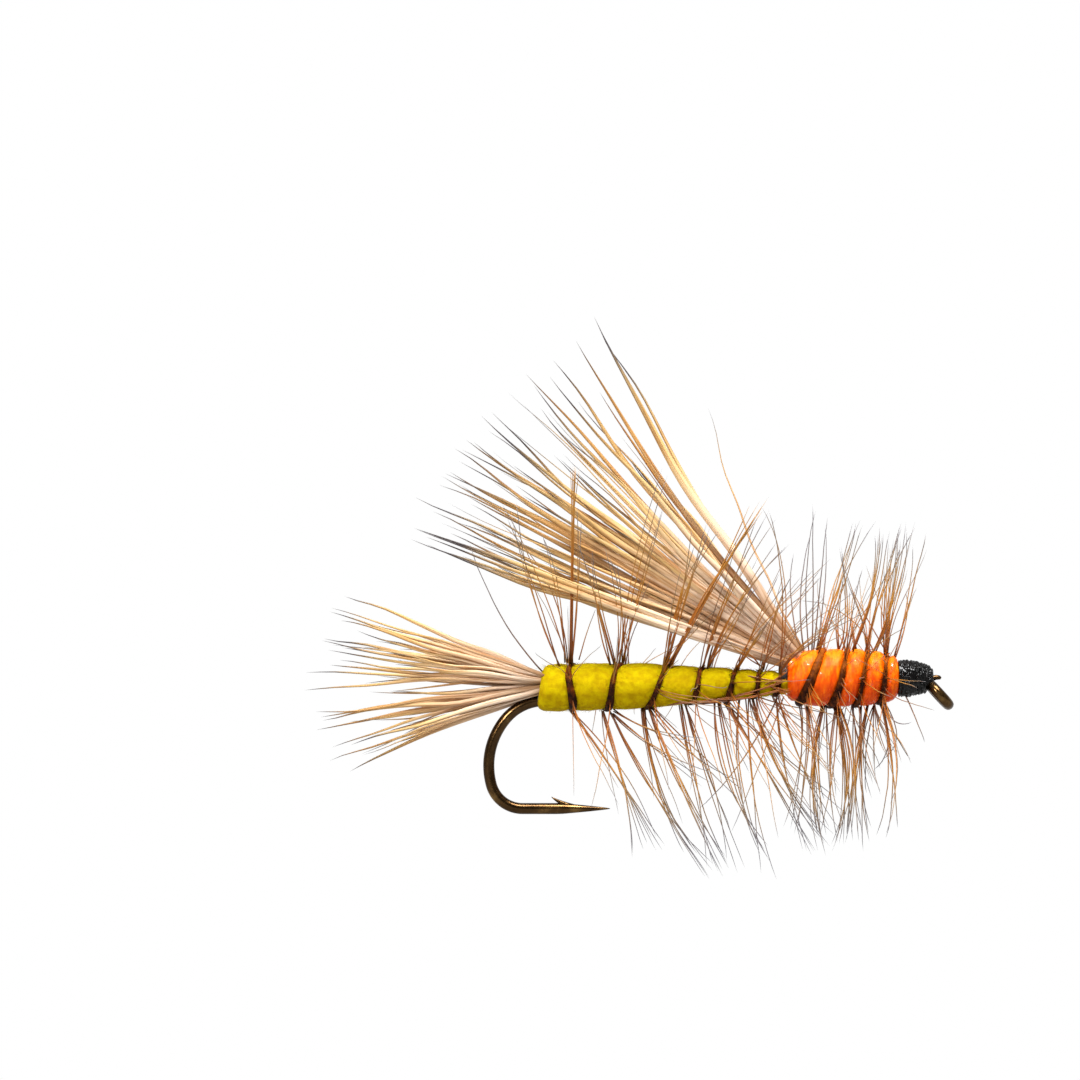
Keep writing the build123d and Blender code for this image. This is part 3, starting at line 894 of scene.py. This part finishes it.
# the topmost hair and the two thick lowest ones are the boldest
wing_bones.append([(14.6, 0, 7.9), (11.9, -0.3, 12.6), (7.2, -0.8, 17.4), (2.9, -1.0, 27.4)])
wing_bones.append([(14.6, 0, 7.6), (9.0, -1.0, 9.6), (2.6, -2.2, 12.0), (-7.2, -2.6, 15.6)])
wing_bones.append([(14.6, 0, 7.6), (9.2, -1.2, 9.2), (2.2, -2.4, 11.7), (-6.6, -2.5, 15.1)])
wing_girth += [0.29, 0.25, 0.21]
for x, z in wing_wisps:
    lay_wing_hair(x, z, wing_rng.normal(0, 1.6), wing_rng.uniform(0.05, 0.07))
WING_FILL = 54
for k in range(WING_FILL):
    share = (k + wing_rng.uniform(-0.6, 1.6)) / WING_FILL
    rise = math.radians(17.5 + 38 * share**1.6)
    reach = wing_rng.uniform(13.0, 21.5)
    y = float(np.clip(wing_rng.normal(0, 0.115), -0.20, 0.20)) * reach
    lay_wing_hair(
        13.7 - reach * math.cos(rise), 8.1 + reach * math.sin(rise), y, wing_rng.uniform(0.07, 0.21)
    )
wing = fibre_sheaf("wing_hairs", wing_bones, wing_girth, HAIR_TAPER, 8, 24, wave=0.34)
wing.data.materials.append(deer_hair)
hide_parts("wing_hair")
butt_ends("wing_butt_hairs", "wing_butts", 40, (14.0, 7.6), (18.8, 7.2), 0.26, 0.10)

COLLAR_TURNS = 7
COLLAR_STEPS = 18
collar_line = []
for i in range(COLLAR_TURNS * COLLAR_STEPS + 1):
    a = 2 * math.pi * i / COLLAR_STEPS
    r = 0.56 + 0.025 * math.sin(i * 0.9)
    collar_line.append((13.02 + 0.062 * i / COLLAR_STEPS, -r * math.cos(a), 7.42 + r * math.sin(a)))
collar = finished("wing_collar", [drawn_tube(collar_line, [0.055] * len(collar_line), 8)])
collar.data.materials.append(thread)
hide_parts("wing_lashing")

# ------------------------------------------------------------------ thorax
# Bright orange yarn with a silky lustre, wound thick from the wing to the head in slanted bands
# that swell between the turns of the feather stem.
THORAX = [(13.45, 0.9), (13.50, 1.10), (13.7, 1.27), (14.2, 1.44), (15.4, 1.56), (17.4, 1.57)]
THORAX += [(18.7, 1.42), (19.3, 1.24), (19.55, 1.06), (19.62, 0.85)]


def thorax_girth(x):
    return float(np.interp(x, [p for p, _ in THORAX], [r for _, r in THORAX]))


def thorax_height(x):
    """The thorax lies level, so its height is the same all along."""
    return 7.27


def thorax_wrap(turns):
    whole = (-1, 0, 1, 2, 3, 4)
    even = np.interp(turns, whole, (13.4, 14.75, 16.4, 17.6, 18.8, 19.9))
    lean = np.interp(turns, whole, (0.3, 0.35, 0.12, 0.07, -0.05, -0.1))
    return float(even + lean * math.sin(2 * math.pi * turns))


stations = [13.45, 13.46, 13.50] + [13.55 + 0.06 * i for i in range(101)] + [19.60, 19.62]
thorax = wound_body(
    "thorax_yarn_bands", stations, thorax_girth, thorax_height, thorax_wrap, 6, 0.22, 0.20, 0.07, 9
)
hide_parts("thorax_yarn")
# the last value is the share of painted top light and underside shade
orange_yarn = wool_material(
    "orange_yarn", (0.60, 0.040, 0.0), (0.80, 0.098, 0.0), (0.90, 0.225, 0.001), 1500, 3.0, 0.03, 0.15
)
nodes, links = orange_yarn.node_tree.nodes, orange_yarn.node_tree.links
shader = nodes["Principled BSDF"]
shader.inputs["Roughness"].default_value = 0.42
shader.inputs["Specular IOR Level"].default_value = 0.12
glints = ramped(nodes, links, toned(nodes, links, 3300, 1.0), [(0.62, (0,) * 3), (0.68, (1,) * 3)])
links.new(glints, shader.inputs["Coat Weight"])
shader.inputs["Coat Roughness"].default_value = 0.06
thorax.data.materials.append(orange_yarn)
thorax_fuzz = fuzz("thorax_fuzz", 500, thorax_girth, thorax_height, 13.7, 19.3, (0.10, 0.30), 19)
thorax_fuzz.data.materials.append(orange_yarn)

# ------------------------------------------------------------------ thorax hackle
# The same feather in closer turns over the thorax. Its barbs stand nearly square to the hook,
# longest above, and their fine ends wave and curl.
thorax_stem = wound_stem(
    "thorax_stem", -0.25, 3.35, thorax_wrap, thorax_girth, thorax_height, 1.50, 0.70
)
thorax_stem.data.materials.append(stem_finish)
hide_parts("thorax_quill")
stem_down("thorax_stem_down", -0.2, 3.3, thorax_wrap, thorax_girth, thorax_height, 37)
hackle = Hackle(17)
# six fine barbs stand up behind the first turn
for root, middle, tip in (
    (14.10, (13.9, 11.9), (14.10, 14.2)), (14.36, (14.25, 12.3), (14.50, 15.5)),
    (14.56, (14.6, 12.8), (15.00, 16.5)), (14.80, (14.9, 12.9), (15.30, 16.8)),
    (14.95, (15.2, 12.9), (15.70, 16.7)), (15.10, (15.45, 12.7), (16.06, 16.2)),
):
    hackle.tuft((root, 8.7), middle, tip, 1, grey=0.9, width=0.044, depth=0.8)
for root, middle, tip, count in (
    ((15.1, 8.6), (16.2, 11.9), (17.5, 15.9), 6), ((16.4, 8.8), (16.7, 11.0), (16.97, 14.7), 2),
    ((18.9, 8.6), (17.1, 11.7), (16.1, 14.1), 1), ((18.4, 8.6), (16.6, 10.8), (14.5, 11.7), 1),
    ((17.1, 8.7), (18.2, 12.2), (18.6, 15.3), 5), ((17.8, 8.7), (18.6, 12.0), (19.7, 15.4), 3),
    ((18.2, 8.6), (19.3, 11.5), (20.1, 15.6), 6), ((18.9, 8.5), (19.0, 12.0), (19.35, 15.5), 3),
    ((19.3, 8.3), (20.2, 11.8), (20.6, 14.8), 2), ((19.4, 8.2), (20.2, 10.4), (20.6, 12.0), 2),
    ((16.3, 8.8), (16.2, 11.0), (16.8, 13.3), 2), ((17.3, 8.8), (17.1, 10.8), (17.3, 12.6), 2),
):
    hackle.tuft(root, middle, tip, count, grey=0.15)
for root, middle, tip, count, grey in (
    ((14.2, 5.8), (14.2, 2.6), (13.9, -0.9), 2, 0.6), ((14.5, 5.7), (14.4, 2.6), (14.0, -1.4), 2, 0.5),
    ((14.6, 5.7), (15.1, 2.4), (15.4, -1.4), 3, 0.4), ((15.5, 5.7), (14.9, 1.9), (15.0, -1.8), 6, 0.3),
    ((15.4, 5.7), (15.4, 2.6), (16.2, 0.4), 1, 0.8), ((16.2, 5.7), (15.9, 2.1), (15.7, -1.5), 4, 0.3),
    ((16.1, 5.7), (16.7, 2.0), (16.3, -1.9), 7, 0.0), ((16.3, 5.7), (17.0, 2.2), (16.7, -1.7), 4, 0.3),
    ((17.1, 5.7), (17.2, 2.4), (16.7, -1.6), 2, 0.6), ((17.9, 5.7), (17.3, 2.1), (17.3, -1.5), 6, 0.1),
    ((17.5, 5.7), (17.6, 1.9), (17.5, -1.5), 3, 0.6), ((18.3, 5.7), (17.8, 3.2), (18.1, 0.9), 2, 0.8),
    ((18.5, 5.9), (19.1, 3.9), (18.1, 2.0), 1, 0.9), ((18.7, 5.9), (19.2, 2.0), (18.8, -1.2), 4, 0.4),
    ((18.9, 6.0), (19.5, 2.8), (19.3, -0.1), 1, 0.6), ((18.8, 5.9), (19.6, 4.2), (19.7, 2.5), 2, 0.6),
    ((18.9, 5.9), (19.3, 4.9), (20.0, 4.3), 1, 0.9), ((19.9, 6.4), (20.6, 4.9), (20.9, 3.6), 1, 0.6),
):
    hackle.tuft(root, middle, tip, count, grey=grey, depth=1.7)
hackle.around(
    100, -0.15, 3.3, thorax_wrap, thorax_girth, thorax_height, (0.02, 0.12), 7.0, 0.17
)
hackle.made("thorax_barb_fibres", "thorax_barbs")

# ------------------------------------------------------------------ head
# The tying thread is wound into a small tapered cone behind the eye, whip-finished, and soaked
# in clear varnish that dries to a hard, beady gloss.
HEAD = [(19.58, 0.70), (19.62, 0.93), (20.1, 0.97), (20.6, 0.90), (21.1, 0.74), (21.5, 0.52)]
HEAD += [(21.58, 0.30)]
HEAD_HEIGHT = 7.24


def head_girth(x):
    return float(np.interp(x, [p for p, _ in HEAD], [r for _, r in HEAD]))


def head_shape(stand, wraps, relief, seed):
    """The head's cone with the wraps of thread standing out of it."""
    stations = [19.58, 19.59] + [19.62 + 0.02 * i for i in range(98)]
    spine = [(x, 0, HEAD_HEIGHT) for x in stations]
    shape = drawn_tube(spine, [head_girth(x) + stand for x in stations], 72)
    for v in shape.verts:
        x, y, z = v.co.x / MM, v.co.y / MM, v.co.z / MM - HEAD_HEIGHT
        r = math.hypot(y, z)
        if r < 0.05:
            continue
        phase = math.atan2(z, -y) / (2 * math.pi)
        jitter = 0.75 * noise.noise(Vector((x * 1.9, y * 1.9 + seed, z * 1.9)))
        cord_line = abs(math.sin(math.pi * (x * wraps - phase + jitter)))
        bead = noise.noise(Vector((x * 6, y * 6, z * 6 + seed)))
        k = (r + relief * (cord_line - 0.5) + relief * 2.8 * bead) / r
        v.co.y, v.co.z = y * k * MM, (HEAD_HEIGHT + z * k) * MM
    return shape


head = finished("head_wraps", [head_shape(0.0, 5.5, 0.040, 2)])
head.data.materials.append(thread)
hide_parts("head_thread")
coat = finished("head_gloss", [head_shape(0.035, 5.5, 0.038, 2)])
varnish, nodes, links, shader = new_material("head_varnish", (0.006, 0.006, 0.007), 0.20)
beads = toned(nodes, links, 3000, 1.5)
bumped(nodes, links, shader, beads, 0.9, 0.10)
links.new(
    ramped(nodes, links, beads, [(0.3, (0.001, 0.001, 0.001)), (0.8, (0.006, 0.005, 0.005))]),
    shader.inputs["Base Color"],
)
shader.inputs["Specular IOR Level"].default_value = 0.02
shader.inputs["Coat Weight"].default_value = 0.42
shader.inputs["Coat Roughness"].default_value = 0.02
coat.data.materials.append(varnish)
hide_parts("head_varnish")

# ------------------------------------------------------------------ floor, light and camera
# A flat white floor, broad soft lamps from above and in front, and a long lens level with
# the fly, square to its side.
FLOOR = -0.0165
floor_bm = bmesh.new()
bmesh.ops.create_grid(floor_bm, x_segments=2, y_segments=2, size=6.0)
bmesh.ops.translate(floor_bm, verts=floor_bm.verts, vec=(0, 0, FLOOR))
floor_mesh = bpy.data.meshes.new("floor")
floor_bm.to_mesh(floor_mesh)
floor_bm.free()
floor = bpy.data.objects.new("floor", floor_mesh)
bpy.context.scene.collection.objects.link(floor)
paper, nodes, links, shader = new_material("floor_paper", (0.30, 0.30, 0.30), 0.9)
grain = toned(nodes, links, 40, 3.0)
links.new(
    ramped(nodes, links, grain, [(0.3, (0.29,) * 3), (0.7, (0.31,) * 3)]),
    shader.inputs["Base Color"],
)
lit = nodes.new("ShaderNodeEmission")
lit.inputs["Color"].default_value = (1, 1, 1, 1)
choose = nodes.new("ShaderNodeMixShader")
links.new(nodes.new("ShaderNodeLightPath").outputs["Is Camera Ray"], choose.inputs[0])
links.new(shader.outputs[0], choose.inputs[1])
links.new(lit.outputs[0], choose.inputs[2])
links.new(choose.outputs[0], nodes["Material Output"].inputs["Surface"])
floor_mesh.materials.append(paper)

world = bpy.data.worlds.new("studio")
bpy.context.scene.world = world
world.use_nodes = True
nodes, links = world.node_tree.nodes, world.node_tree.links
seen = nodes["Background"]
seen.inputs["Color"].default_value = (1, 1, 1, 1)
fill = nodes.new("ShaderNodeBackground")
way = nodes.new("ShaderNodeSeparateXYZ")
links.new(nodes.new("ShaderNodeTexCoord").outputs["Generated"], way.inputs[0])
level = ranged(nodes, links, way.outputs["Y"], -0.8, 0.8, 0.22, 0.85)
links.new(level, fill.inputs["Strength"])
choose = nodes.new("ShaderNodeMixShader")
links.new(nodes.new("ShaderNodeLightPath").outputs["Is Camera Ray"], choose.inputs[0])
links.new(fill.outputs[0], choose.inputs[1])
links.new(seen.outputs[0], choose.inputs[2])
links.new(choose.outputs[0], nodes["World Output"].inputs["Surface"])


MIDDLE = (0.008, 0, 0.01)


def soft_lamp(name, spot, aim, size, power):
    """A square lamp at spot, turned to face aim."""
    lamp = bpy.data.lights.new(name, "AREA")
    lamp.shape, lamp.size, lamp.energy = "SQUARE", size, power
    holder = bpy.data.objects.new(name, lamp)
    holder.location = spot
    holder.rotation_euler = (Vector(aim) - Vector(spot)).to_track_quat("-Z", "Y").to_euler()
    bpy.context.scene.collection.objects.link(holder)


soft_lamp("lamp_above", (0.08, -0.16, 0.45), MIDDLE, 0.22, 5.0)
soft_lamp("lamp_front", (-0.25, -0.40, 0.22), MIDDLE, 0.09, 2.0)

camera_data = bpy.data.cameras.new("camera")
camera_data.lens, camera_data.sensor_width = 180, 36
camera_data.clip_start = 0.01
camera = bpy.data.objects.new("camera", camera_data)
camera.location = (-0.00028, -0.300, 0.01492)
camera.rotation_euler = (math.radians(90), 0, 0)
bpy.context.scene.collection.objects.link(camera)
bpy.context.scene.camera = camera
bpy.context.scene.view_settings.view_transform = "Standard"
